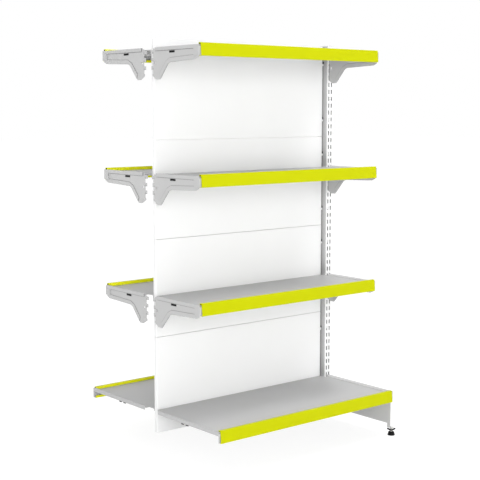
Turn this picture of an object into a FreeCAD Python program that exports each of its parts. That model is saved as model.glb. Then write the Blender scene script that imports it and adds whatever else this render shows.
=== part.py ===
import FreeCAD, Part
import math
import os
from types import SimpleNamespace

import Sketcher

# Add-on bay of double-sided shop shelving, in millimetres.
# The floor is at z 0, the bay runs along X, and its front side faces -Y.

DRIVING_SIZES = {
    # bay and upright
    "module_pitch": 950,
    "upright_width": 35,
    "upright_depth": 62,
    "upright_wall": 2,
    "upright_corner": 3,
    "upright_bottom": 30,
    "upright_top": 1646,
    "cap_plate": 4,
    "cap_corner": 1.8,
    "cap_plug": 14,
    "cap_clearance": 0.2,
    # slots of the upright and the hooks that hang in them
    "slot_pitch": 30,
    "slot_height": 18,
    "slot_width": 5.5,
    "slot_gauge": 15,
    "slot_first": 72,
    "slot_rows": 52,
    "hook_neck": 8,
    "hook_drop": 6,
    "hook_reach": 12,
    "top_hook_reach": 16,
    "hook_gap": 0.3,
    "tooth_reach": 5,
    "tooth_margin": 2,
    "cut_over": 1,
    # panels
    "panel_width": 898,
    "panel_pitch": 390,
    "panel_gap": 1.5,
    "panel_bottom": 88,
    "panel_face": 9,
    "panel_back": 0.5,
    "panel_sheet": 1,
    "panel_bend": 2.5,
    "panel_count": 4,
    "tab_inset": 75,
    "tab_middle": 4.5,
    "tab_sheet": 2,
    "tab_reach": 8,
    # shelf levels, at the top edge of the ticket strip
    "level_base": 196,
    "level_lower": 658,
    "level_step": 480,
    "reach_upper": 322,
    "reach_base": 432,
    # shelves
    "shelf_half": 471,
    "shelf_sheet": 1,
    "shelf_rear": 12,
    "surface_drop": 13,
    "lip_drop": 7,
    "lip_width": 7,
    "skirt_height": 13,
    "base_surface_drop": 11,
    "base_lip_drop": 3.5,
    "base_skirt_height": 15.5,
    "corner_width": 30,
    "notch_half": 448,
    "notch_depth": 45,
    "rear_flange": 10,
    "front_setback": 2,
    "front_return": 7.3,
    "stiffener_half": 465,
    "stiffener_setback": 7,
    "stiffener_foot": 34,
    "ridge_outer": 25,
    "ridge_inner": 5,
    "ridge_slope": 3,
    "ridge_height": 13,
    # ticket strips
    "strip_half": 463.5,
    "strip_height": 48,
    "strip_lean": 4.5,
    "strip_sheet": 1.5,
    "strip_channel": 12,
    "strip_hook": 11,
    "strip_hook_rise": 10,
    # brackets
    "bracket_slot_drop": 16,
    "bracket_sheet": 2,
    "bracket_reach": 283,
    "heel_length": 13,
    "heel_slope": 2,
    "heel_drop": 4,
    "bracket_nose": 44,
    "bracket_step": 18,
    "bracket_step_drop": 8,
    "elbow_out": 101,
    "elbow_drop": 66,
    "elbow_bend": 30,
    "leg_front": 50,
    "leg_back": 22,
    "leg_drop": 129,
    "leg_bend": 6,
    "bead_rise": 1,
    "bead_near": 0.5,
    "bead_far": 16,
    "bead_start": 262,
    "bead_bend": 16,
    "eye_out": 12.5,
    "eye_drop": 64,
    "eye_width": 8,
    "window_out": 121.5,
    "window_drop": 27,
    "window_length": 35,
    "window_height": 8,
    # base feet and levelling feet
    "foot_sheet": 2,
    "foot_reach": 391,
    "foot_underside": 50,
    "foot_flange": 17,
    "flange_setback": 30,
    "leg_width": 17,
    "leg_bottom": 32,
    "leg_tab": 23.5,
    "leg_tab_width": 15,
    "screw_inset": 1,
    "screw_radius": 5,
    "screw_bottom": 8,
    "screw_length": 31,
    "screw_clearance": 0.06,
    "pad_radius": 15.5,
    "pad_height": 15.5,
    "pad_draft": 16,
    "pad_sides": 24,
    "wing_hub_radius": 8,
    "wing_bottom": 20.3,
    "wing_hub_height": 5.2,
    "wing_span": 18,
    "wing_top": 30.6,
    "wing_sheet": 4,
    "wing_rise": 0.6,
    "wing_tip": 4,
    "wing_turn": -40,
}


NUT_SIDES = 6
FLAT_LIMIT = 0.5


class Size:
    # a length together with the expression that ties it to the sheet

    def __init__(self, value, text):
        self.value = value
        self.text = text

    def joined(self, sign, other, value):
        return Size(value, f"({self.text} {sign} {other.text})")

    def __add__(self, other):
        other = as_size(other)
        return self.joined("+", other, self.value + other.value)

    def __sub__(self, other):
        other = as_size(other)
        return self.joined("-", other, self.value - other.value)

    def __mul__(self, other):
        other = as_size(other)
        return self.joined("*", other, self.value * other.value)

    def __truediv__(self, other):
        other = as_size(other)
        return self.joined("/", other, self.value / other.value)

    def __neg__(self):
        return Size(-self.value, f"(-1 * {self.text})")

    def __rsub__(self, other):
        return as_size(other) - self


def as_size(item):
    return item if isinstance(item, Size) else Size(float(item), f"{float(item):.4f}")


doc = FreeCAD.newDocument("shelving_bay")
sheet = doc.addObject("Spreadsheet::Sheet", "Dims")
for row, (alias, number) in enumerate(DRIVING_SIZES.items(), start=1):
    sheet.set(f"A{row}", alias)
    sheet.set(f"B{row}", str(number))
    sheet.setAlias(f"B{row}", alias)
doc.recompute()

d = SimpleNamespace(**{name: Size(float(number), f"Dims.{name}") for name, number in DRIVING_SIZES.items()})

# The origin is under the middle of the whole bay, which reaches from the shelves' left end to the upright.
bay_x = (d.shelf_half - d.module_pitch / 2 - d.upright_width / 2) / 2
upright_x = bay_x + d.module_pitch / 2
upright_face = d.upright_depth / 2
bracket_x = (d.module_pitch - d.slot_gauge) / 2

# heights of the two kinds of tray, from the top edge of the ticket strip
trays = {
    "upper": SimpleNamespace(
        surface=-d.surface_drop,
        lip=-d.lip_drop,
        skirt=-d.lip_drop - d.skirt_height,
    ),
    "base": SimpleNamespace(
        surface=-d.base_surface_drop,
        lip=-d.base_lip_drop,
        skirt=-d.base_lip_drop - d.base_skirt_height,
    ),
}
bracket_top = trays["upper"].lip - d.shelf_sheet

sub_parts = []


# sketches and features

def new_body(label):
    body = doc.addObject("PartDesign::Body", label)
    body.Label = label
    sub_parts.append(body)
    return body


def origin_plane(body, plane):
    return [part for part in body.Origin.OriginFeatures if part.Role == f"{plane}_Plane"][0]


def new_sketch(body, plane, name, offset=None):
    sketch = body.newObject("Sketcher::SketchObject", f"{body.Name}_{name}")
    sketch.AttachmentSupport = [(origin_plane(body, plane), "")]
    sketch.MapMode = "FlatFace"
    if offset is not None:
        sketch.setExpression("AttachmentOffset.Base.z", offset.text)
    return sketch


def tie(sketch, kind, first, first_point, second, second_point, size):
    constraint = Sketcher.Constraint(kind, first, first_point, second, second_point, size.value)
    number = sketch.addConstraint(constraint)
    sketch.setExpression(f"Constraints[{number}]", size.text)


def pin_point(sketch, item, point, x, y):
    tie(sketch, "DistanceX", -1, 1, item, point, as_size(x))
    tie(sketch, "DistanceY", -1, 1, item, point, as_size(y))


def draw_outline(sketch, points):
    first = sketch.GeometryCount
    count = len(points)
    corners = [FreeCAD.Vector(as_size(x).value, as_size(y).value, 0) for x, y in points]
    lines = [Part.LineSegment(corners[i], corners[(i + 1) % count]) for i in range(count)]
    sketch.addGeometry(lines, False)
    for i in range(count):
        sketch.addConstraint(Sketcher.Constraint("Coincident", first + i, 2, first + (i + 1) % count, 1))
    for i, (x, y) in enumerate(points):
        pin_point(sketch, first + i, 1, x, y)


def draw_box(sketch, left, right, low, high):
    draw_outline(sketch, [(left, low), (right, low), (right, high), (left, high)])


def draw_polygon(sketch, radius, sides):
    angles = [math.tau * number / sides for number in range(sides)]
    draw_outline(sketch, [(radius * math.cos(angle), radius * math.sin(angle)) for angle in angles])


def draw_circle(sketch, x, y, radius):
    centre = FreeCAD.Vector(as_size(x).value, as_size(y).value, 0)
    item = sketch.addGeometry(Part.Circle(centre, FreeCAD.Vector(0, 0, 1), radius.value), False)
    pin_point(sketch, item, 3, x, y)
    number = sketch.addConstraint(Sketcher.Constraint("Radius", item, radius.value))
    sketch.setExpression(f"Constraints[{number}]", radius.text)


def pad(body, sketch, length, middle=False, backward=False):
    feature = body.newObject("PartDesign::Pad", f"{sketch.Name}_pad")
    feature.Profile = sketch
    feature.setExpression("Length", as_size(length).text)
    feature.SideType = "Symmetric" if middle else "One side"
    feature.Reversed = backward
    sketch.Visibility = False
    return feature


def pocket(body, sketch, length=None, middle=False, backward=False):
    doc.recompute()
    before = body.Shape.Volume
    feature = body.newObject("PartDesign::Pocket", f"{sketch.Name}_pocket")
    feature.Profile = sketch
    if length is None:
        feature.Type = "ThroughAll"
    else:
        feature.setExpression("Length", as_size(length).text)
    feature.SideType = "Symmetric" if middle else "One side"
    feature.Reversed = backward
    doc.recompute()
    if body.Shape.Volume >= before - 1e-6:
        raise ValueError(f"{feature.Name} cuts nothing")
    return feature


def repeat_upwards(body, feature, sketch, step, times):
    pattern = body.newObject("PartDesign::LinearPattern", f"{feature.Name}_rows")
    pattern.Originals = [feature]
    pattern.Direction = (sketch, ["V_Axis"])
    pattern.setExpression("Length", (step * (times - 1)).text)
    pattern.setExpression("Occurrences", as_size(times).text)
    body.Tip = pattern
    return pattern


def edges_along(shape, axis, places):
    # names of the straight edges along one axis whose other two coordinates match a place
    others = [i for i in range(3) if i != axis]
    found = []
    for number, edge in enumerate(shape.Edges, start=1):
        ends = [vertex.Point for vertex in edge.Vertexes]
        if len(ends) != 2:
            continue
        for place in places:
            wanted = [as_size(item).value for item in place]
            if all(abs(end[i] - item) < 0.01 for end in ends for i, item in zip(others, wanted)):
                found.append(f"Edge{number}")
    return found


def round_edges(body, axis, places, radius):
    doc.recompute()
    base = body.Tip
    names = edges_along(base.Shape, axis, places)
    if not names:
        raise ValueError(f"{body.Label} has no edge to round")
    feature = body.newObject("PartDesign::Fillet", f"{base.Name}_round")
    feature.Base = (base, names)
    feature.setExpression("Radius", as_size(radius).text)
    doc.recompute()
    return feature


def place(item, x, y, z, turn=None):
    turn = as_size(0) if turn is None else turn
    rotation = FreeCAD.Rotation(FreeCAD.Vector(0, 0, 1), turn.value)
    item.Placement = FreeCAD.Placement(FreeCAD.Vector(), rotation)
    for axis, size in (("x", x), ("y", y), ("z", z)):
        item.setExpression(f"Placement.Base.{axis}", as_size(size).text)


SIDE_TURN = {"front": as_size(0), "back": as_size(180)}
SIDE_SIGN = {"front": -1, "back": 1}


# A hook sits on the bottom edge of its slot, and its tip hangs behind the upright's wall.
# The points run up the rear edge of a plate whose rear edge lies at y of the upright's face.

def hook_points(slot_z, reach):
    seat = slot_z - d.slot_height / 2
    behind = -upright_face + d.upright_wall + d.hook_gap
    tip = -upright_face + reach
    return [
        (-upright_face, seat),
        (behind, seat),
        (behind, seat - d.hook_drop),
        (tip, seat - d.hook_drop),
        (tip, seat + d.hook_neck),
        (-upright_face, seat + d.hook_neck),
    ]


def tooth_points(slot_z):
    seat = slot_z - d.slot_height / 2
    tip = -upright_face + d.tooth_reach
    return [
        (-upright_face, seat),
        (tip, seat),
        (tip, seat + d.hook_neck),
        (-upright_face, seat + d.hook_neck),
    ]


# upright: a rectangular tube with two columns of slots on its front and back

def make_upright():
    body = new_body("upright")
    half_width = d.upright_width / 2
    outer = new_sketch(body, "XY", "outer")
    draw_box(outer, -half_width, half_width, -upright_face, upright_face)
    pad(body, outer, d.upright_top - d.upright_bottom)
    corners = [(x, y) for x in (-half_width, half_width) for y in (-upright_face, upright_face)]
    round_edges(body, 2, corners, d.upright_corner)
    inner = new_sketch(body, "XY", "bore")
    bore_x = half_width - d.upright_wall
    bore_y = upright_face - d.upright_wall
    draw_box(inner, -bore_x, bore_x, -bore_y, bore_y)
    pocket(body, inner, backward=True)

    columns = new_sketch(body, "XZ", "slots")
    slot_z = d.slot_first - d.upright_bottom
    for side in (-1, 1):
        slot_x = d.slot_gauge * side / 2
        draw_box(columns, slot_x - d.slot_width / 2, slot_x + d.slot_width / 2,
                 slot_z - d.slot_height / 2, slot_z + d.slot_height / 2)
    slots = pocket(body, columns, middle=True)
    repeat_upwards(body, slots, columns, d.slot_pitch, d.slot_rows)

    tabs = new_sketch(body, "YZ", "tab_slots")
    for inset in (d.tab_inset, d.panel_pitch - d.tab_inset):
        tab_z = d.panel_bottom + inset - d.upright_bottom
        half_slot = d.tab_middle + d.slot_width / 2
        draw_box(tabs, -half_slot, half_slot, tab_z - d.slot_height / 2, tab_z + d.slot_height / 2)
    tab_slots = pocket(body, tabs, middle=True)
    repeat_upwards(body, tab_slots, tabs, d.panel_pitch, d.panel_count)
    place(body, upright_x, 0, d.upright_bottom)


def make_upright_cap():
    body = new_body("upright_cap")
    half_width = d.upright_width / 2
    plate = new_sketch(body, "XY", "plate")
    short_x = half_width - d.cap_corner
    short_y = upright_face - d.cap_corner
    draw_outline(plate, [
        (-short_x, -upright_face),
        (short_x, -upright_face),
        (half_width, -short_y),
        (half_width, short_y),
        (short_x, upright_face),
        (-short_x, upright_face),
        (-half_width, short_y),
        (-half_width, -short_y),
    ])
    pad(body, plate, d.cap_plate)
    plug = new_sketch(body, "XY", "plug")
    plug_x = half_width - d.upright_wall - d.cap_clearance
    plug_y = upright_face - d.upright_wall - d.cap_clearance
    draw_box(plug, -plug_x, plug_x, -plug_y, plug_y)
    pad(body, plug, d.cap_plug, backward=True)
    place(body, upright_x, 0, d.upright_top)


# panels: shallow folded pans, hung on the upright by two tabs

def make_panel(side, number):
    body = new_body(f"panel_{side}_{number + 1}")
    half = d.panel_width / 2
    low = d.panel_gap / 2
    high = d.panel_pitch - d.panel_gap / 2
    skin = new_sketch(body, "XZ", "skin", d.panel_back)
    draw_box(skin, -half, half, low, high)
    pad(body, skin, d.panel_face - d.panel_back)
    round_edges(body, 2, [(-half, -d.panel_face), (half, -d.panel_face)], d.panel_bend)
    inside = new_sketch(body, "XZ", "inside", d.panel_back)
    draw_box(inside, -half + d.panel_sheet, half - d.panel_sheet, low + d.panel_sheet, high - d.panel_sheet)
    pocket(body, inside, d.panel_face - d.panel_back - d.panel_sheet, backward=True)

    tabs = new_sketch(body, "XZ", "tabs", d.tab_middle - d.tab_sheet / 2)
    wall_back = d.module_pitch / 2 - d.upright_width / 2 + d.upright_wall + d.hook_gap
    end = -SIDE_SIGN[side]
    root = half - d.panel_sheet / 2
    tip = wall_back + d.tab_reach - d.upright_wall
    for inset in (d.tab_inset, d.panel_pitch - d.tab_inset):
        seat = inset - d.slot_height / 2
        draw_outline(tabs, [
            (root * end, seat),
            (wall_back * end, seat),
            (wall_back * end, seat - d.hook_drop),
            (tip * end, seat - d.hook_drop),
            (tip * end, seat + d.hook_neck),
            (root * end, seat + d.hook_neck),
        ])
    pad(body, tabs, d.tab_sheet)
    place(body, bay_x, 0, d.panel_bottom + d.panel_pitch * number, SIDE_TURN[side])


# base feet: plates hooked into the lowest slots, each with a flange along its lower edge and a tab
# at the foot of its leg for the levelling screw

def make_base_foot(side):
    body = new_body(f"base_foot_{side}")
    top = d.level_base + trays["base"].lip - d.shelf_sheet
    front = -upright_face - d.foot_reach
    outline = [
        (-upright_face, top),
        (front, top),
        (front, d.leg_bottom),
        (front + d.leg_width, d.leg_bottom),
        (front + d.leg_width, d.foot_underside),
        (-upright_face, d.foot_underside),
    ]
    outline += tooth_points(d.slot_first)
    for row in (1, 2, 3):
        outline += hook_points(d.slot_first + d.slot_pitch * row, d.hook_reach)
    plate_x = d.slot_gauge * SIDE_SIGN[side] / 2
    profile = new_sketch(body, "YZ", "profile", plate_x)
    draw_outline(profile, outline)
    pad(body, profile, d.foot_sheet, middle=True)

    tab = new_sketch(body, "YZ", "tab", plate_x)
    tab_back = front + d.leg_width
    draw_box(tab, tab_back - d.leg_tab, tab_back, d.leg_bottom, d.leg_bottom + d.foot_sheet)
    pad(body, tab, d.leg_tab_width, backward=side == "back")
    flange = new_sketch(body, "YZ", "flange", plate_x)
    draw_box(flange, front + d.flange_setback, -upright_face - d.flange_setback,
             d.foot_underside, d.foot_underside + d.foot_sheet)
    pad(body, flange, d.foot_flange, backward=side == "back")

    thread = new_sketch(body, "XY", "thread")
    draw_circle(thread, 0, front + d.screw_inset, d.screw_radius + d.screw_clearance)
    pocket(body, thread, d.leg_bottom + d.foot_sheet + d.cut_over, backward=True)
    place(body, upright_x, 0, 0, SIDE_TURN[side])


# levelling feet: a screw that turns in the pad's six-sided socket, with a wing to turn it by

def make_levelling_foot(side):
    axis_y = (upright_face + d.foot_reach - d.screw_inset) * SIDE_SIGN[side]

    screw = doc.addObject("Part::Cylinder", f"levelling_screw_{side}")
    screw.Label = f"levelling_screw_{side}"
    screw.setExpression("Radius", d.screw_radius.text)
    screw.setExpression("Height", d.screw_length.text)
    place(screw, upright_x, axis_y, d.screw_bottom)
    sub_parts.append(screw)

    foot = new_body(f"foot_pad_{side}")
    rim = new_sketch(foot, "XY", "rim")
    draw_polygon(rim, d.pad_radius, DRIVING_SIZES["pad_sides"])
    block = pad(foot, rim, d.pad_height)
    doc.recompute()
    walls = [f"Face{number}" for number, face in enumerate(block.Shape.Faces, start=1)
             if abs(face.normalAt(0, 0).z) < FLAT_LIMIT]
    draft = foot.newObject("PartDesign::Draft", f"{foot.Name}_draft")
    draft.Base = (block, walls)
    draft.NeutralPlane = (origin_plane(foot, "XY"), [""])
    draft.setExpression("Angle", d.pad_draft.text)
    socket = new_sketch(foot, "XY", "socket", d.screw_bottom)
    draw_polygon(socket, (d.screw_radius + d.screw_clearance) / math.cos(math.pi / NUT_SIDES), NUT_SIDES)
    pocket(foot, socket, d.pad_height, backward=True)
    place(foot, upright_x, axis_y, 0)

    wing = new_body(f"wing_nut_{side}")
    hub = new_sketch(wing, "XY", "hub")
    draw_polygon(hub, d.wing_hub_radius, NUT_SIDES)
    pad(wing, hub, d.wing_hub_height)
    wings = new_sketch(wing, "XZ", "wings")
    tip = d.wing_top - d.wing_bottom
    for end in (-1, 1):
        draw_outline(wings, [
            (0, d.wing_rise),
            (d.wing_hub_radius * end, d.wing_rise),
            (d.wing_span * end, tip - d.wing_sheet),
            (d.wing_span * end, tip),
            ((d.wing_span - d.wing_tip) * end, tip),
            (d.wing_hub_radius * end, d.wing_rise + d.wing_sheet),
            (0, d.wing_rise + d.wing_sheet),
        ])
    pad(wing, wings, d.wing_sheet, middle=True)
    bore = new_sketch(wing, "XY", "bore")
    draw_circle(bore, 0, 0, d.screw_radius + d.screw_clearance)
    pocket(wing, bore, backward=True)
    place(wing, upright_x, axis_y, d.wing_bottom, d.wing_turn)


# shelves: sheet trays whose folded side lips drop over the top edges of brackets and base feet

def lip_profile(end, tray):
    # half of the tray's section, from its middle along the top and back along the underside
    half = d.shelf_half
    lip_inside = half - d.lip_width
    top = [
        (lip_inside, tray.surface),
        (lip_inside, tray.lip),
        (half, tray.lip),
        (half, tray.skirt),
    ]
    under = [
        (half - d.shelf_sheet, tray.skirt),
        (half - d.shelf_sheet, tray.lip - d.shelf_sheet),
        (lip_inside + d.shelf_sheet, tray.lip - d.shelf_sheet),
        (lip_inside + d.shelf_sheet, tray.surface - d.shelf_sheet),
    ]
    return [(x * end, z) for x, z in top + under]


def make_shelf(label, reach, level, side, tray):
    body = new_body(label)
    front = reach - d.front_setback
    section = new_sketch(body, "XZ", "section", d.shelf_rear)
    draw_outline(section, lip_profile(1, tray) + lip_profile(-1, tray)[::-1])
    pad(body, section, front - d.shelf_rear)

    apron = new_sketch(body, "YZ", "apron")
    apron_bottom = -d.strip_height + d.strip_sheet
    draw_box(apron, -front, -front + d.shelf_sheet, apron_bottom, tray.surface)
    pad(body, apron, d.shelf_half * 2, middle=True)
    fold = new_sketch(body, "YZ", "fold")
    draw_box(fold, -front, -front + d.front_return, apron_bottom, apron_bottom + d.shelf_sheet)
    pad(body, fold, d.strip_half * 2, middle=True)

    rear = new_sketch(body, "YZ", "rear")
    draw_box(rear, -d.shelf_rear - d.shelf_sheet, -d.shelf_rear, tray.surface - d.rear_flange, tray.surface)
    pad(body, rear, d.notch_half * 2, middle=True)

    notches = new_sketch(body, "XY", "notches")
    for end in (-1, 1):
        draw_box(notches, d.notch_half * end, (d.shelf_half + d.cut_over) * end,
                 -d.notch_depth, -d.shelf_rear + d.cut_over)
    pocket(body, notches)

    if tray is trays["upper"]:
        for end, inside in (("left", -d.shelf_half), ("right", d.shelf_half - d.shelf_sheet)):
            corner = new_sketch(body, "YZ", f"{end}_corner", inside)
            draw_box(corner, -front, -front + d.corner_width, apron_bottom, tray.lip)
            pad(body, corner, d.shelf_sheet)
    place(body, bay_x, 0, level, SIDE_TURN[side])


def make_stiffener(label, reach, level, side, tray):
    body = new_body(label)
    middle = d.stiffener_setback - (reach + d.shelf_rear) / 2
    top = tray.surface - d.shelf_sheet
    low = top - d.shelf_sheet
    crown = top - d.ridge_height
    outer_bend = d.ridge_outer - d.ridge_slope
    inner_bend = d.ridge_inner + d.ridge_slope
    under = [
        (d.stiffener_foot, top),
        (d.stiffener_foot, low),
        (d.ridge_outer, low),
        (outer_bend, crown),
        (inner_bend, crown),
        (d.ridge_inner, low),
    ]
    over = [
        (d.ridge_inner + d.shelf_sheet, top),
        (inner_bend + d.shelf_sheet, crown + d.shelf_sheet),
        (outer_bend - d.shelf_sheet, crown + d.shelf_sheet),
        (d.ridge_outer - d.shelf_sheet, top),
    ]
    points = [(middle + y, z) for y, z in under]
    points += [(middle - y, z) for y, z in under[::-1]]
    points += [(middle - y, z) for y, z in over[::-1]]
    points += [(middle + y, z) for y, z in over]
    section = new_sketch(body, "YZ", "section")
    draw_outline(section, points)
    pad(body, section, d.stiffener_half * 2, middle=True)
    place(body, bay_x, 0, level, SIDE_TURN[side])


# ticket strips: a channel that stands on the tray and hooks under its apron

def make_ticket_strip(label, reach, level, side, tray):
    body = new_body(label)
    wall = d.strip_sheet
    bottom = -d.strip_height
    back = -reach + d.strip_channel
    hook_back = -reach + d.strip_hook
    foot = -reach - d.strip_lean
    section = new_sketch(body, "YZ", "section")
    draw_outline(section, [
        (back, tray.surface),
        (back, 0),
        (-reach, 0),
        (foot, bottom),
        (hook_back, bottom),
        (hook_back, bottom + d.strip_hook_rise),
        (hook_back - wall, bottom + d.strip_hook_rise),
        (hook_back - wall, bottom + wall),
        (foot + wall, bottom + wall),
        (-reach + wall, -wall),
        (back - wall, -wall),
        (back - wall, tray.surface),
    ])
    pad(body, section, d.strip_half * 2, middle=True)
    place(body, bay_x, 0, level, SIDE_TURN[side])


# brackets: hooked plates with a tapered arm, a short leg and a bead along the lower edge

def arm_point(out, z):
    return (-upright_face - out, z)


def bead_line(offset):
    # the arm's lower edge and the leg's front edge, moved into the plate by the offset
    arm_start = (d.bracket_reach - d.bracket_step).value
    arm_z = (bracket_top - d.bracket_nose - d.bracket_step_drop).value
    elbow = FreeCAD.Vector(d.elbow_out.value, -d.elbow_drop.value, 0)
    arm = (elbow - FreeCAD.Vector(arm_start, arm_z, 0)).normalize()
    leg_end = FreeCAD.Vector(d.leg_front.value, (d.leg_bend - d.leg_drop).value, 0)
    leg = (leg_end - elbow).normalize()
    arm_normal = FreeCAD.Vector(arm.y, -arm.x, 0)
    leg_normal = FreeCAD.Vector(leg.y, -leg.x, 0)
    middle = (arm_normal + leg_normal).normalize()
    bend = elbow + middle * (offset.value / middle.dot(arm_normal))
    start = bend - arm * ((bend.x - d.bead_start.value) / arm.x)
    foot = bend + leg * ((-d.leg_drop.value + offset.value + d.leg_bend.value - bend.y) / leg.y)
    cut = (d.bead_bend.value + offset.value) / 2
    return [start, bend - arm * cut, bend + leg * cut, foot]


def make_bracket(label, level, side, end):
    body = new_body(label)
    slots = [-d.bracket_slot_drop - d.slot_pitch * row for row in range(4)]
    nose = bracket_top - d.bracket_nose
    outline = [
        arm_point(0, bracket_top - d.heel_drop),
        arm_point(d.heel_length, bracket_top - d.heel_drop),
        arm_point(d.heel_length + d.heel_slope, bracket_top),
        arm_point(d.bracket_reach, bracket_top),
        arm_point(d.bracket_reach, nose),
        arm_point(d.bracket_reach - d.bracket_step, nose - d.bracket_step_drop),
        arm_point(d.elbow_out, -d.elbow_drop),
        arm_point(d.leg_front, -d.leg_drop + d.leg_bend),
        arm_point(d.leg_front - d.leg_bend, -d.leg_drop),
        arm_point(d.leg_back, -d.leg_drop),
        arm_point(0, slots[3] - d.slot_height / 2 - d.tooth_margin),
    ]
    outline += tooth_points(slots[3])
    outline += hook_points(slots[2], d.hook_reach)
    outline += hook_points(slots[1], d.hook_reach)
    outline += hook_points(slots[0], d.top_hook_reach)
    plate = new_sketch(body, "YZ", "plate")
    draw_outline(plate, outline)
    eye = arm_point(d.eye_out, -d.eye_drop)
    draw_box(plate, eye[0] - d.eye_width / 2, eye[0] + d.eye_width / 2,
             eye[1] - d.eye_width / 2, eye[1] + d.eye_width / 2)
    window = arm_point(d.window_out, -d.window_drop)
    draw_box(plate, window[0] - d.window_length / 2, window[0] + d.window_length / 2,
             window[1] - d.window_height / 2, window[1] + d.window_height / 2)
    pad(body, plate, d.bracket_sheet, middle=True)
    round_edges(body, 0, [arm_point(d.elbow_out, -d.elbow_drop)], d.elbow_bend)

    bead = new_sketch(body, "YZ", "bead")
    near = bead_line(d.bead_near)
    far = bead_line(d.bead_far)
    draw_outline(bead, [(-upright_face - point.x, as_size(point.y)) for point in far + near[::-1]])
    pad(body, bead, d.bracket_sheet + d.bead_rise * 2, middle=True)
    place(body, bay_x + bracket_x * end, 0, level, SIDE_TURN[side])


LEVELS = {
    "base": d.level_base,
    "lower": d.level_lower,
    "middle": d.level_lower + d.level_step,
    "top": d.level_lower + d.level_step * 2,
}
ENDS = {"left": -1, "right": 1}

make_upright()
make_upright_cap()
for side in SIDE_TURN:
    for number in range(DRIVING_SIZES["panel_count"]):
        make_panel(side, number)
    make_base_foot(side)
    make_levelling_foot(side)
    for name, level in LEVELS.items():
        upper = name != "base"
        reach = d.reach_upper if upper else d.reach_base
        tray = trays["upper" if upper else "base"]
        make_shelf(f"shelf_{name}_{side}", reach, level, side, tray)
        make_stiffener(f"stiffener_{name}_{side}", reach, level, side, tray)
        make_ticket_strip(f"ticket_strip_{name}_{side}", reach, level, side, tray)
        if upper:
            for end_name, end in ENDS.items():
                make_bracket(f"bracket_{name}_{side}_{end_name}", level, side, end)
doc.recompute()

for item in doc.Objects:
    if "Invalid" in item.State or "Error" in item.State:
        raise ValueError(f"{item.Label} failed: {item.State}")
os.makedirs("parts", exist_ok=True)
for item in sub_parts:
    shape = item.Shape
    if shape.isNull() or not shape.isValid() or len(shape.Solids) != 1:
        raise ValueError(f"{item.Label} is not one sound solid")
for item in sub_parts:
    item.Shape.exportStep(f"parts/{item.Label}.step")
print(f"{len(sub_parts)} sub-parts written")
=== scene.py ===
import math

import bmesh
import bpy
from mathutils import Matrix, Vector


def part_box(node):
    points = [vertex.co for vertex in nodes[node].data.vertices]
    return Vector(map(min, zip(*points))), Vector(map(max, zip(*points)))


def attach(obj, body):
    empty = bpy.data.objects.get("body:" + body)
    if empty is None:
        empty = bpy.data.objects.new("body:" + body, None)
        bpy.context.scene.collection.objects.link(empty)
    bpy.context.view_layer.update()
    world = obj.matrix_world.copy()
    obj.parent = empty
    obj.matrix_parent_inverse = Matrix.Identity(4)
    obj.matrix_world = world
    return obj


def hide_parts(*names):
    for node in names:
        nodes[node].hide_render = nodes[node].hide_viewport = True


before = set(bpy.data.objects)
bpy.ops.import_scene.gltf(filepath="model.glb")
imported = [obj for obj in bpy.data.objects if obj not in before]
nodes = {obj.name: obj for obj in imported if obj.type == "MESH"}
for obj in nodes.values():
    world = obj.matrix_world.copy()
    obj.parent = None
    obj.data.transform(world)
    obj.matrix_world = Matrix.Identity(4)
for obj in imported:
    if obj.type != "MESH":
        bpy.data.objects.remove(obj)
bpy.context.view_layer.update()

sides = ("front", "back")
levels = ("base", "lower", "middle", "top")
ends = ("left", "right")
axes = {"along": 0, "depth": 1, "height": 2}
print("frame loaded:", len(nodes), "nodes")


class Wire:
    # one output of a node tree, so that sums on it read as plain expressions

    def __init__(self, tree, socket=None):
        self.tree = tree
        self.socket = socket

    def make(self, kind, settings=None, inputs=None, output=0):
        node = self.tree.nodes.new(kind)
        for name, value in (settings or {}).items():
            setattr(node, name, value)
        for name, value in (inputs or {}).items():
            if isinstance(value, Wire):
                self.tree.links.new(value.socket, node.inputs[name])
            else:
                node.inputs[name].default_value = value
        return Wire(self.tree, node.outputs[output] if node.outputs else None)

    def math(self, operation, first, second=0.0):
        return self.make("ShaderNodeMath", {"operation": operation}, {0: first, 1: second})

    def __add__(self, other):
        return self.math("ADD", self, other)

    def __radd__(self, other):
        return self.math("ADD", other, self)

    def __sub__(self, other):
        return self.math("SUBTRACT", self, other)

    def __rsub__(self, other):
        return self.math("SUBTRACT", other, self)

    def __mul__(self, other):
        return self.math("MULTIPLY", self, other)

    def __rmul__(self, other):
        return self.math("MULTIPLY", other, self)


# steps that the materials share
mixSockets = {"factor": 0, "first": 6, "second": 7, "result": 2}
opennessRays = 12


def grey(level):
    return (level, level, level, 1.0)


def newMaterial(name):
    material = bpy.data.materials.new(name)
    material.use_nodes = True
    tree = material.node_tree
    tree.nodes.clear()
    return material, Wire(tree)


def closeMaterial(wire, shader):
    wire.make("ShaderNodeOutputMaterial", None, {"Surface": shader})


def objectPlace(wire):
    return wire.make("ShaderNodeTexCoord", None, None, "Object")


def noise(wire, place, scale, detail):
    settings = {"noise_dimensions": "3D"}
    return wire.make("ShaderNodeTexNoise", settings, {"Vector": place, "Scale": scale, "Detail": detail})


def stretched(wire, place, factors):
    return wire.make("ShaderNodeVectorMath", {"operation": "MULTIPLY"}, {0: place, 1: factors})


def tint(wire, factor, first, second):
    # the first colour where the factor is 0, the second where it is 1
    settings = {"data_type": "RGBA", "blend_type": "MIX"}
    inputs = {mixSockets["factor"]: factor, mixSockets["first"]: first, mixSockets["second"]: second}
    return wire.make("ShaderNodeMix", settings, inputs, mixSockets["result"])


def bumped(wire, height, look):
    inputs = {"Strength": look["bump"], "Distance": look["bumpDepth"], "Height": height}
    return wire.make("ShaderNodeBump", None, inputs)


def positive(wire, amount):
    return wire.math("MAXIMUM", amount, 0.0)


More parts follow.
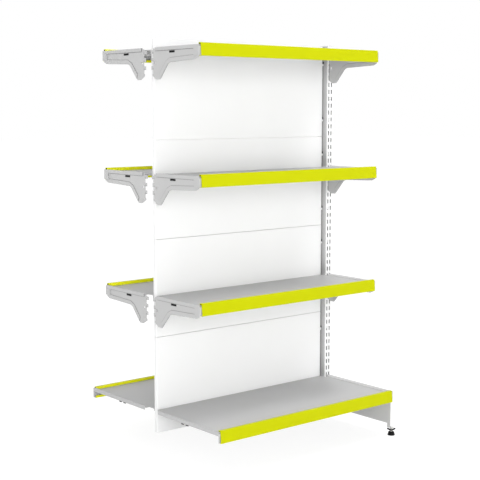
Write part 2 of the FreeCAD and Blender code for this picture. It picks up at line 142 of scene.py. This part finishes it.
def alongAxis(wire, vector, axis):
    # a vector's measure along one of the bay's axes
    return wire.make("ShaderNodeSeparateXYZ", None, {0: vector}, axes[axis])


def within(wire, place, axis, middle, half):
    # 1 where the place lies within a half width of the middle along one axis
    away = wire.math("ABSOLUTE", alongAxis(wire, place, axis) - middle)
    return wire.math("LESS_THAN", away, half)


def openness(wire, reach):
    # 1 on open faces, less along creases and under edges nearer than the reach
    return wire.make("ShaderNodeAmbientOcclusion", {"samples": opennessRays}, {"Distance": reach}, "AO")


def facing(wire, axis):
    normal = wire.make("ShaderNodeNewGeometry", None, None, "Normal")
    return alongAxis(wire, normal, axis)


def outward(wire, place, axis):
    # 1 on faces turned away from the bay's middle along one axis, -1 on those turned to it
    half = wire.math("SIGN", alongAxis(wire, place, axis))
    return half * facing(wire, axis)


# powder-coated sheet, white on the upright and panels and grey on the shelves and what carries them
whiteCoat = {
    "colour": (0.89, 0.892, 0.895, 1),
    "worn": (0.865, 0.867, 0.87, 1),
    "roughness": 0.42,
    "gloss": 0.3,
}
greyCoat = {
    "colour": (0.55, 0.55, 0.555, 1),
    "worn": (0.53, 0.53, 0.535, 1),
    "roughness": 0.42,
    "gloss": 0.3,
}
# the darker colours for folds, covered upper faces and outer lip faces are painted shade, and the paler
# inner lip colour is painted light
paints = {
    "whitePaint": dict(whiteCoat, creaseShade=grey(0.70), creaseReach=0.003, creasePower=1.0),
    "greyPaint": dict(greyCoat, colour=grey(0.60), worn=grey(0.58), creaseShade=grey(0.20), creaseReach=0.005,
                      creasePower=1.0),
    "trayPaint": dict(greyCoat, creaseShade=grey(0.52), creaseReach=0.002, creasePower=0.8, gloss=0.12,
                      coverShade=grey(0.35), coverShadeReach=0.3, lipInsideLight=grey(0.78), lipOutsideShade=grey(0.50)),
    "bracketPaint": dict(greyCoat, colour=grey(0.495), worn=grey(0.48), creaseShade=grey(0.06),
                         creaseReach=0.004, creasePower=3.5, creaseEnd=0.284),
}
paintGrain = {
    "cloud": 5.0,
    "cloudDetail": 3.0,
    "peel": 850.0,
    "peelDetail": 1.0,
    "bump": 0.05,
    "bumpDepth": 0.0004,
    "roughSpread": 0.08,
}
# painted shade inside the upright's tube and on its side walls near the panels
boreShadeLook = {
    "wall": 0.0010,
    "band": 0.0040,
    "colour": (0.05, 0.05, 0.052, 1),
    "middle": (0.30, 0.30, 0.302, 1),
    "sideReach": 0.10,
    "sidePower": 1.5,
    "sideShade": (0.24, 0.24, 0.242, 1),
}


def creaseShaded(wire, place, look, colour):
    # painted shade, darker along folds and under edges, but not past the end of the brackets' beads
    unshaded = wire.math("POWER", openness(wire, look["creaseReach"]), look["creasePower"])
    if "creaseEnd" in look:
        unshaded = wire.math("MAXIMUM", unshaded, 1 - within(wire, place, "depth", 0.0, look["creaseEnd"]))
    return tint(wire, unshaded, look["creaseShade"], colour)


def coverShaded(wire, look, colour):
    # painted shade, darker on upper faces with something standing or hanging near
    covered = (1 - openness(wire, look["coverShadeReach"])) * positive(wire, facing(wire, "height"))
    return tint(wire, covered, colour, look["coverShade"])


def lipLitAndShaded(wire, place, look, colour):
    # painted shade, duller on the trays' outer end faces, and painted light, paler on the inner faces of
    # their end lips
    endwise = outward(wire, place, "along")
    colour = tint(wire, positive(wire, endwise), colour, look["lipOutsideShade"])
    return tint(wire, positive(wire, 0 - endwise), colour, look["lipInsideLight"])


def boreShaded(wire, place, node, colour):
    # painted shade, dark inside a tube, and a shade on its outer side walls where something stands near
    low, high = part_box(node)
    middle = [(low[axis] + high[axis]) / 2 for axis in (0, 1)]
    half = [(high[axis] - low[axis]) / 2 - boreShadeLook["wall"] for axis in (0, 1)]
    inDepth = within(wire, place, "depth", middle[1], half[1])
    inWalls = within(wire, place, "along", middle[0], half[0])
    inMiddle = within(wire, place, "along", middle[0], half[0] - boreShadeLook["band"])
    beside = wire.math("POWER", openness(wire, boreShadeLook["sideReach"]), boreShadeLook["sidePower"])
    colour = tint(wire, (1 - beside) * inDepth * (1 - inWalls), colour, boreShadeLook["sideShade"])
    boreShade = tint(wire, inMiddle, boreShadeLook["colour"], boreShadeLook["middle"])
    return tint(wire, inWalls * inDepth, colour, boreShade)


def paintMaterial(name, tube=None):
    look = paints[name]
    material, wire = newMaterial(f"{tube}Paint" if tube else name)
    place = objectPlace(wire)
    cloud = noise(wire, place, paintGrain["cloud"], paintGrain["cloudDetail"])
    peel = noise(wire, place, paintGrain["peel"], paintGrain["peelDetail"])
    colour = creaseShaded(wire, place, look, tint(wire, cloud, look["colour"], look["worn"]))
    if "coverShade" in look:
        colour = lipLitAndShaded(wire, place, look, coverShaded(wire, look, colour))
    if tube:
        colour = boreShaded(wire, place, tube, colour)
    spread = paintGrain["roughSpread"]
    shader = wire.make("ShaderNodeBsdfPrincipled", None, {
        "Base Color": colour,
        "Roughness": cloud * spread + (look["roughness"] - spread / 2),
        "Specular IOR Level": look["gloss"],
        "Normal": bumped(wire, peel, paintGrain),
    })
    closeMaterial(wire, shader)
    return material


# extruded plastic of the ticket strips, drawn along the bay, with painted light making them brighter on the
# inner faces and painted shade where they are closed in
stripLook = {
    "colour": (0.52, 0.55, 0.001, 1),
    "pale": (0.545, 0.575, 0.003, 1),
    "inside": (0.90, 0.93, 0.02, 1),
    "closed": (0.14, 0.15, 0.004, 1),
    "closedReach": 0.03,
    "closedFrom": 0.2,
    "closedTo": 0.45,
    "cloudStretch": (0.5, 4.0, 4.0),
    "cloud": 3.0,
    "cloudDetail": 2.0,
    "lineStretch": (0.6, 300.0, 300.0),
    "line": 1.0,
    "lineDetail": 1.0,
    "bump": 0.06,
    "bumpDepth": 0.0003,
    "roughness": 0.34,
    "roughSpread": 0.08,
    "gloss": 0.05,
    "through": 0.7,
    "throughReach": (1.0, 1.0, 0.15),
    "throughDepth": 0.003,
}


def stripMaterial():
    look = stripLook
    material, wire = newMaterial("yellowStrip")
    place = objectPlace(wire)
    cloud = noise(wire, stretched(wire, place, look["cloudStretch"]), look["cloud"], look["cloudDetail"])
    lines = noise(wire, stretched(wire, place, look["lineStretch"]), look["line"], look["lineDetail"])
    colour = tint(wire, cloud, look["colour"], look["pale"])
    # painted light on the faces turned to the bay's middle
    colour = tint(wire, positive(wire, 0 - outward(wire, place, "depth")), colour, look["inside"])
    # painted shade where the strip is closed in
    opened = wire.make("ShaderNodeMapRange", {"interpolation_type": "SMOOTHSTEP"}, {
        "Value": openness(wire, look["closedReach"]),
        "From Min": look["closedFrom"],
        "From Max": look["closedTo"],
    })
    shader = wire.make("ShaderNodeBsdfPrincipled", None, {
        "Base Color": tint(wire, opened, look["closed"], colour),
        "Roughness": lines * look["roughSpread"] + look["roughness"],
        "Specular IOR Level": look["gloss"],
        "Subsurface Weight": look["through"],
        "Subsurface Radius": look["throughReach"],
        "Subsurface Scale": look["throughDepth"],
        "Normal": bumped(wire, lines, look),
    })
    closeMaterial(wire, shader)
    return material


# moulded plastic, black on the levelling feet and plugs and white on the cap
mouldings = {
    "blackMoulding": {"colour": (0.004, 0.004, 0.0045, 1), "worn": (0.008, 0.008, 0.0085, 1), "gloss": 0.1},
    "whiteMoulding": {"colour": (0.80, 0.80, 0.805, 1), "worn": (0.76, 0.76, 0.765, 1), "gloss": 0.2},
}
mouldGrain = {
    "cloud": 60.0,
    "cloudDetail": 3.0,
    "grain": 1600.0,
    "grainDetail": 1.0,
    "bump": 0.15,
    "bumpDepth": 0.0002,
    "roughness": 0.50,
    "roughSpread": 0.15,
}


def mouldingMaterial(name):
    look = mouldings[name]
    material, wire = newMaterial(name)
    place = objectPlace(wire)
    cloud = noise(wire, place, mouldGrain["cloud"], mouldGrain["cloudDetail"])
    grain = noise(wire, place, mouldGrain["grain"], mouldGrain["grainDetail"])
    shader = wire.make("ShaderNodeBsdfPrincipled", None, {
        "Base Color": tint(wire, cloud, look["colour"], look["worn"]),
        "Roughness": cloud * mouldGrain["roughSpread"] + mouldGrain["roughness"],
        "Specular IOR Level": look["gloss"],
        "Normal": bumped(wire, grain, mouldGrain),
    })
    closeMaterial(wire, shader)
    return material


# zinc-plated steel of the levelling screws
zincLook = {
    "dull": (0.55, 0.55, 0.54, 1),
    "bright": (0.68, 0.68, 0.66, 1),
    "cloud": 180.0,
    "cloudDetail": 4.0,
    "roughness": 0.28,
    "roughSpread": 0.2,
}


def zincMaterial():
    material, wire = newMaterial("zincSteel")
    cloud = noise(wire, objectPlace(wire), zincLook["cloud"], zincLook["cloudDetail"])
    shader = wire.make("ShaderNodeBsdfPrincipled", None, {
        "Base Color": tint(wire, cloud, zincLook["dull"], zincLook["bright"]),
        "Metallic": 1.0,
        "Roughness": cloud * zincLook["roughSpread"] + zincLook["roughness"],
    })
    closeMaterial(wire, shader)
    return material


materials = {name: paintMaterial(name) for name in paints}
materials.update({name: mouldingMaterial(name) for name in mouldings})
materials["yellowStrip"] = stripMaterial()
materials["zincSteel"] = zincMaterial()
materials["uprightPaint"] = paintMaterial("whitePaint", "upright")
print("materials made:", len(materials))


# the first start that fits a node's name gives its finish, and the other nodes are painted grey
finishes = {
    "upright_cap": "whiteMoulding",
    "upright": "uprightPaint",
    "panel": "whitePaint",
    "shelf": "trayPaint",
    "bracket": "bracketPaint",
    "ticket_strip": "yellowStrip",
    "levelling_screw": "zincSteel",
    "wing_nut": "blackMoulding",
    "foot_pad": "blackMoulding",
}


def finishOf(node):
    for start, finish in finishes.items():
        if node.startswith(start):
            return finish
    return "greyPaint"


def setMaterial(obj, material):
    obj.data.materials.clear()
    obj.data.materials.append(material)


for name, obj in nodes.items():
    setMaterial(obj, materials[finishOf(name)])
print("finishes set")


# marks in rows: plugs in the brackets' windows and the stiffeners' ends, and spot welds under the shelves
markTree = {
    "inputs": {
        "Width": "NodeSocketFloat",
        "Height": "NodeSocketFloat",
        "Corner": "NodeSocketFloat",
        "Half Depth": "NodeSocketFloat",
        "Crown": "NodeSocketFloat",
        "Count": "NodeSocketInt",
        "Start": "NodeSocketVector",
        "Step": "NodeSocketVector",
        "Rows": "NodeSocketInt",
        "Row Step": "NodeSocketVector",
        "Turn": "NodeSocketVector",
        "Material": "NodeSocketMaterial",
    },
    "cornerSteps": 5,
    "underside": (1, 1, -1),
}
markTurns = {"flat": (0, 0, 0), "endwise": (math.pi / 2, 0, math.pi / 2)}
plugSet = {
    "out": 0.1525,
    "drop": 0.027,
    "look": {"Width": 0.0346, "Height": 0.0076, "Corner": 0.0034, "Half Depth": 0.0014, "Crown": 0.95},
}
endPlugSet = {
    "outset": 0.0001,
    "drop": 0.0069,
    "ridgeGap": 0.030,
    "look": {"Width": 0.0165, "Height": 0.0134, "Corner": 0.0030, "Half Depth": 0.0012, "Crown": 0.96},
}
weldSet = {
    "inset": 0.030,
    "rowGap": 0.059,
    "sheet": 0.001,
    "count": 10,
    "look": {"Width": 0.0075, "Height": 0.0075, "Corner": 0.0036, "Half Depth": 0.0005, "Crown": 0.70},
}


def makeMarkTree():
    tree = bpy.data.node_groups.new("markRows", "GeometryNodeTree")
    for name, kind in markTree["inputs"].items():
        tree.interface.new_socket(name, in_out="INPUT", socket_type=kind)
    tree.interface.new_socket("Geometry", in_out="OUTPUT", socket_type="NodeSocketGeometry")
    wire = Wire(tree)
    entry = tree.nodes.new("NodeGroupInput")
    given = {name: Wire(tree, entry.outputs[name]) for name in markTree["inputs"]}
    outline = wire.make("GeometryNodeCurvePrimitiveQuadrilateral", None,
                        {"Width": given["Width"], "Height": given["Height"]})
    rounded = wire.make("GeometryNodeFilletCurve", {"mode": "POLY"},
                        {"Curve": outline, "Count": markTree["cornerSteps"], "Radius": given["Corner"],
                         "Limit Radius": True})
    face = wire.make("GeometryNodeFillCurve", {"mode": "NGONS"}, {"Curve": rounded})
    wall = wire.make("GeometryNodeExtrudeMesh", None,
                     {"Mesh": face, "Offset Scale": given["Half Depth"], "Individual": False})
    top = Wire(tree, wall.socket.node.outputs["Top"])
    crown = wire.make("GeometryNodeScaleElements", None,
                      {"Geometry": wall, "Selection": top, "Scale": given["Crown"]})
    under = wire.make("GeometryNodeTransform", None, {"Geometry": crown, "Scale": markTree["underside"]})
    turned = wire.make("GeometryNodeFlipFaces", None, {"Mesh": under})
    both = tree.nodes.new("GeometryNodeJoinGeometry")
    for half in (crown, turned):
        tree.links.new(half.socket, both.inputs[0])
    whole = wire.make("GeometryNodeMergeByDistance", None, {"Geometry": Wire(tree, both.outputs[0])})
    row = wire.make("GeometryNodeMeshLine", {"mode": "OFFSET"},
                    {"Count": given["Count"], "Start Location": given["Start"], "Offset": given["Step"]})
    steps = wire.make("GeometryNodeMeshLine", {"mode": "OFFSET"},
                      {"Count": given["Rows"], "Offset": given["Row Step"]})
    rows = wire.make("GeometryNodeInstanceOnPoints", None, {"Points": steps, "Instance": row})
    points = wire.make("GeometryNodeRealizeInstances", None, {"Geometry": rows})
    marks = wire.make("GeometryNodeInstanceOnPoints", None,
                      {"Points": points, "Instance": whole, "Rotation": given["Turn"]})
    solid = wire.make("GeometryNodeRealizeInstances", None, {"Geometry": marks})
    finished = wire.make("GeometryNodeSetMaterial", None,
                         {"Geometry": solid, "Material": given["Material"]})
    leave = tree.nodes.new("NodeGroupOutput")
    tree.links.new(finished.socket, leave.inputs["Geometry"])
    return tree


markRows = makeMarkTree()


def makeDraft(name, mesh):
    draft = bpy.data.objects.new(f"{name}Draft", mesh)
    bpy.context.scene.collection.objects.link(draft)
    return draft


def finishDraft(draft):
    # the draft's mesh with its modifiers applied, and the draft removed
    graph = bpy.context.evaluated_depsgraph_get()
    mesh = bpy.data.meshes.new_from_object(draft.evaluated_get(graph))
    bpy.data.objects.remove(draft)
    return mesh


def linkPiece(name, mesh, body):
    piece = bpy.data.objects.new(name, mesh)
    bpy.context.scene.collection.objects.link(piece)
    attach(piece, body)
    return piece


def makeMarks(name, values, body):
    draft = makeDraft(name, bpy.data.meshes.new(name))
    modifier = draft.modifiers.new("rows", "NODES")
    modifier.node_group = markRows
    for item in markRows.interface.items_tree:
        if item.in_out == "INPUT":
            modifier[item.identifier] = values[item.name]
    mesh = finishDraft(draft)
    mesh.name = name
    linkPiece(name, mesh, body)


def makePlugs(level, side):
    boxes = [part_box(f"bracket_{level}_{side}_{end}") for end in ends]
    left, right = [(low[0] + high[0]) / 2 for low, high in boxes]
    out = plugSet["out"] * (-1 if side == "front" else 1)
    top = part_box(f"ticket_strip_{level}_{side}")[1][2]
    makeMarks(f"window_plugs_{level}_{side}", dict(plugSet["look"], **{
        "Count": 2,
        "Start": (left, out, top - plugSet["drop"]),
        "Step": (right - left, 0, 0),
        "Rows": 1,
        "Row Step": (0, 0, 0),
        "Turn": markTurns["endwise"],
        "Material": materials["blackMoulding"],
    }), f"{level}_{side}")


def makeEndPlugs(level, side):
    low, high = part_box(f"stiffener_{level}_{side}")
    first = low[0] - endPlugSet["outset"]
    last = high[0] + endPlugSet["outset"]
    middle = (low[1] + high[1]) / 2
    makeMarks(f"ridge_plugs_{level}_{side}", dict(endPlugSet["look"], **{
        "Count": 2,
        "Start": (first, middle - endPlugSet["ridgeGap"] / 2, high[2] - endPlugSet["drop"]),
        "Step": (last - first, 0, 0),
        "Rows": 2,
        "Row Step": (0, endPlugSet["ridgeGap"], 0),
        "Turn": markTurns["endwise"],
        "Material": materials["blackMoulding"],
    }), f"{level}_{side}")


def makeWelds(level, side):
    low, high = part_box(f"stiffener_{level}_{side}")
    first = low[0] + weldSet["inset"]
    last = high[0] - weldSet["inset"]
    middle = (low[1] + high[1]) / 2
    makeMarks(f"spot_welds_{level}_{side}", dict(weldSet["look"], **{
        "Count": weldSet["count"],
        "Start": (first, middle - weldSet["rowGap"] / 2, high[2] - weldSet["sheet"]),
        "Step": ((last - first) / (weldSet["count"] - 1), 0, 0),
        "Rows": 2,
        "Row Step": (0, weldSet["rowGap"], 0),
        "Turn": markTurns["flat"],
        "Material": materials["greyPaint"],
    }), f"{level}_{side}")


for side in sides:
    for level in levels:
        makeWelds(level, side)
        makeEndPlugs(level, side)
        if level != "base":
            makePlugs(level, side)
print("plugs and welds made")


# levelling feet, in millimetres from the screw's axis: pad, winged nut and threaded screw
footBuild = {"metres": 0.001, "sharpAngle": 40}
padSet = {
    "profile": (
        (0, 0), (13.9, 0), (14.9, 0.4), (15.4, 1.4), (15.4, 2.6), (15.0, 4.2), (13.4, 9.2), (12.1, 13.2),
        (11.5, 14.5), (10.6, 15.2), (9.6, 15.5), (6.4, 15.5), (5.5, 15.1), (5.0, 14.2), (5.0, 8.2),
        (0, 8.2),
    ),
    "steps": 56,
}
nutSet = {
    "hub": (
        (4.3, 0.5), (4.8, 0), (7.0, 0), (7.7, 0.6), (7.6, 3.8), (7.1, 5.0), (6.5, 5.2), (4.8, 5.2),
        (4.3, 4.7),
    ),
    "hubSteps": 40,
    "wingRoot": 6.0,
    "wingTip": 17.7,
    "wingLow": 2.5,
    "wingRise": 4.7,
    "stations": (0, 0.15, 0.3, 0.45, 0.6, 0.75, 0.86, 0.94, 0.985, 1),
    "fullness": (1, 1, 0.94, 0.9, 0.9, 0.95, 1, 0.93, 0.7, 0.35),
    "halfHeight": 3.7,
    "halfThickness": 3.3,
    "around": 16,
    "turn": -40,  # degrees
    "voxel": 0.00035,  # metres, because the nut is melted at its real size
    "softness": 0.5,
    "softenings": 3,
}
screwSet = {
    "top": 27.0,
    "pitch": 1.5,
    "depth": 0.75,
    "radius": 4.25,
    "rowsPerPitch": 6,
    "steps": 24,
    "chamfer": 1.2,
    "tip": 0.75,
    "neck": 3.6,
    "neckTop": 11.6,
}


def bridge(build, first, second):
    # faces between two rings of points, either of which may be a single point
    count = max(len(first), len(second))
    for i in range(count):
        corners = (first[i % len(first)], first[(i + 1) % len(first)],
                   second[(i + 1) % len(second)], second[i % len(second)])
        build.faces.new(list(dict.fromkeys(corners)))


def bridgeAll(build, rings):
    for first, second in zip(rings, rings[1:]):
        bridge(build, first, second)


def ring(build, radius, height, steps):
    if radius == 0:
        return [build.verts.new((0, 0, height))]
    turns = [math.tau * i / steps for i in range(steps)]
    return [build.verts.new((radius * math.cos(turn), radius * math.sin(turn), height)) for turn in turns]


def turnProfile(build, profile, steps, closed=False):
    rings = [ring(build, radius, height, steps) for radius, height in profile]
    bridgeAll(build, rings + rings[:1] if closed else rings)


def closeBuild(build, name, place, turn=0.0):
    bmesh.ops.recalc_face_normals(build, faces=build.faces)
    scale = Matrix.Scale(footBuild["metres"], 4)
    build.transform(Matrix.Translation(place) @ Matrix.Rotation(turn, 4, "Z") @ scale)
    for face in build.faces:
        face.smooth = True
    mesh = bpy.data.meshes.new(name)
    build.to_mesh(mesh)
    build.free()
    mesh.set_sharp_from_angle(angle=math.radians(footBuild["sharpAngle"]))
    return mesh


def makePad(side, axis):
    build = bmesh.new()
    turnProfile(build, padSet["profile"], padSet["steps"])
    name = f"domed_pad_{side}"
    mesh = closeBuild(build, name, (axis[0], axis[1], 0))
    piece = linkPiece(name, mesh, f"foot_pad_body_{side}")
    setMaterial(piece, materials["blackMoulding"])
    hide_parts(f"foot_pad_{side}")


def makeWing(build, direction):
    # one ear of the nut, rounded sections along a line that rises and levels out
    length = nutSet["wingTip"] - nutSet["wingRoot"]
    rings = []
    for along, full in zip(nutSet["stations"], nutSet["fullness"]):
        quarter = along * math.pi / 2
        middle = Vector((nutSet["wingRoot"] + length * along, 0,
                         nutSet["wingLow"] + nutSet["wingRise"] * math.sin(quarter)))
        slope = Vector((length, 0, nutSet["wingRise"] * math.pi / 2 * math.cos(quarter))).normalized()
        up = Vector((-slope.z, 0, slope.x)) * nutSet["halfHeight"] * full
        across = Vector((0, nutSet["halfThickness"] * full, 0))
        points = []
        for i in range(nutSet["around"]):
            turn = math.tau * i / nutSet["around"]
            spot = middle + up * math.sin(turn) + across * math.cos(turn)
            points.append(build.verts.new((spot.x * direction, spot.y, spot.z)))
        rings.append(points)
    bridgeAll(build, rings)
    build.faces.new(rings[0])
    build.faces.new(rings[-1])


def makeNut(side, axis):
    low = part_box(f"wing_nut_{side}")[0]
    build = bmesh.new()
    turnProfile(build, nutSet["hub"], nutSet["hubSteps"], closed=True)
    for direction in (-1, 1):
        makeWing(build, direction)
    name = f"winged_nut_{side}"
    mesh = closeBuild(build, name, (axis[0], axis[1], low[2]), math.radians(nutSet["turn"]))
    draft = makeDraft(name, mesh)
    melt = draft.modifiers.new("melt", "REMESH")
    melt.mode = "VOXEL"
    melt.voxel_size = nutSet["voxel"]
    melt.use_smooth_shade = True
    soften = draft.modifiers.new("soften", "SMOOTH")
    soften.factor = nutSet["softness"]
    soften.iterations = nutSet["softenings"]
    piece = linkPiece(name, finishDraft(draft), f"foot_screw_body_{side}")
    setMaterial(piece, materials["blackMoulding"])
    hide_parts(f"wing_nut_{side}")


def screwRadius(height, share):
    # at one height and share of a turn: a plain neck below the thread and chamfers at both ends
    fromEnd = min(height, screwSet["top"] - height)
    full = min(1.0, screwSet["tip"] + (1 - screwSet["tip"]) * fromEnd / screwSet["chamfer"])
    if height < screwSet["neckTop"]:
        return screwSet["neck"] * full
    phase = (height / screwSet["pitch"] - share) % 1
    return (screwSet["radius"] - screwSet["depth"] * abs(2 * phase - 1)) * full


def makeScrew(side, axis):
    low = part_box(f"levelling_screw_{side}")[0]
    length = screwSet["top"]
    rows = int(length / screwSet["pitch"] * screwSet["rowsPerPitch"])
    build = bmesh.new()
    rings = [[build.verts.new((0, 0, 0))]]
    for row in range(rows + 1):
        height = length * row / rows
        points = []
        for i in range(screwSet["steps"]):
            turn = math.tau * i / screwSet["steps"]
            radius = screwRadius(height, i / screwSet["steps"])
            points.append(build.verts.new((radius * math.cos(turn), radius * math.sin(turn), height)))
        rings.append(points)
    rings.append([build.verts.new((0, 0, length))])
    bridgeAll(build, rings)
    name = f"threaded_screw_{side}"
    mesh = closeBuild(build, name, (axis[0], axis[1], low[2]))
    piece = linkPiece(name, mesh, f"foot_screw_body_{side}")
    setMaterial(piece, materials["zincSteel"])
    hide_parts(f"levelling_screw_{side}")


for side in sides:
    low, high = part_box(f"levelling_screw_{side}")
    footAxis = ((low[0] + high[0]) / 2, (low[1] + high[1]) / 2)
    makePad(side, footAxis)
    makeNut(side, footAxis)
    makeScrew(side, footAxis)
print("levelling feet made")


# camera, where the photograph was taken from
cameraSet = {
    "place": (-2.9537, -3.5344, 1.3763),
    "yaw": 39.671,
    "down": 6.74,
    "lens": 82.94,
    "sensor": 36.0,
    "farthest": 200.0,
}


def makeCamera():
    data = bpy.data.cameras.new("camera")
    data.lens = cameraSet["lens"]
    data.sensor_width = cameraSet["sensor"]
    data.clip_end = cameraSet["farthest"]
    camera = bpy.data.objects.new("camera", data)
    bpy.context.scene.collection.objects.link(camera)
    camera.location = cameraSet["place"]
    camera.rotation_euler = (math.radians(90 - cameraSet["down"]), 0, -math.radians(cameraSet["yaw"]))
    bpy.context.scene.camera = camera


# floor, sky and lamps
studio = {
    "floorHalf": 40.0,
    "floorColour": grey(0.90),
    "floorGlow": 0.85,
    "floorMatt": grey(0.25),
    "skyLow": 0.80,
    "skyHigh": 0.67,
    "white": grey(1.0),
}
lamps = {
    "keyLamp": {"place": (-3.2, -5.8, 1.3), "aim": (0, 0, 0.8), "size": 4.0, "power": 256},
    "topLamp": {"place": (1.5, -0.9, 4.4), "aim": (0.2, -0.2, 0.3), "size": 1.8, "power": 66},
    "leftLamp": {"place": (-5.0, -0.6, 1.0), "aim": (0, 0, 0.8), "size": 3.0, "power": 24},
    "backLamp": {"place": (-1.2, 6.2, 0.8), "aim": (0, 0, 0.8), "size": 2.0, "power": 100},
}


def seenDirectly(wire):
    # 1 for the eye and for what it sees in or through something, 0 where light is gathered
    path = wire.tree.nodes.new("ShaderNodeLightPath")
    direct = Wire(wire.tree, path.outputs["Is Camera Ray"])
    for name in ("Is Glossy Ray", "Is Transmission Ray"):
        direct = direct.math("MAXIMUM", direct, Wire(wire.tree, path.outputs[name]))
    return direct


def makeFloor():
    half = studio["floorHalf"]
    mesh = bpy.data.meshes.new("floor")
    corners = [(-half, -half, 0), (half, -half, 0), (half, half, 0), (-half, half, 0)]
    mesh.from_pydata(corners, [], [(0, 1, 2, 3)])
    floor = bpy.data.objects.new("floor", mesh)
    bpy.context.scene.collection.objects.link(floor)
    material, wire = newMaterial("floorWhite")
    matt = wire.make("ShaderNodeBsdfDiffuse", None, {"Color": studio["floorColour"]})
    faint = wire.make("ShaderNodeBsdfDiffuse", None, {"Color": studio["floorMatt"]})
    glow = wire.make("ShaderNodeEmission", None,
                     {"Color": studio["white"], "Strength": studio["floorGlow"]})
    seen = wire.make("ShaderNodeAddShader", None, {0: faint, 1: glow})
    mixed = wire.make("ShaderNodeMixShader", None, {0: seenDirectly(wire), 1: matt, 2: seen})
    closeMaterial(wire, mixed)
    setMaterial(floor, material)


def makeSky():
    world = bpy.data.worlds.new("studio")
    world.use_nodes = True
    tree = world.node_tree
    tree.nodes.clear()
    wire = Wire(tree)
    direct = seenDirectly(wire)
    toward = wire.make("ShaderNodeTexCoord", None, None, "Generated")
    rise = wire.make("ShaderNodeMapRange", {"interpolation_type": "SMOOTHSTEP"}, {
        "Value": alongAxis(wire, toward, "height"),
        "To Min": studio["skyLow"],
        "To Max": studio["skyHigh"],
    })
    strength = direct * (1 - rise) + rise
    sky = wire.make("ShaderNodeBackground", None, {"Color": studio["white"], "Strength": strength})
    wire.make("ShaderNodeOutputWorld", None, {"Surface": sky})
    bpy.context.scene.world = world


def makeLamp(name):
    look = lamps[name]
    data = bpy.data.lights.new(name, "AREA")
    data.shape = "SQUARE"
    data.size = look["size"]
    data.energy = look["power"]
    lamp = bpy.data.objects.new(name, data)
    bpy.context.scene.collection.objects.link(lamp)
    lamp.location = look["place"]
    lamp.rotation_mode = "QUATERNION"
    lamp.rotation_quaternion = (Vector(look["aim"]) - Vector(look["place"])).to_track_quat("-Z", "Y")


bpy.context.scene.view_settings.view_transform = "Standard"
makeCamera()
makeFloor()
makeSky()
for name in lamps:
    makeLamp(name)
print("studio made")
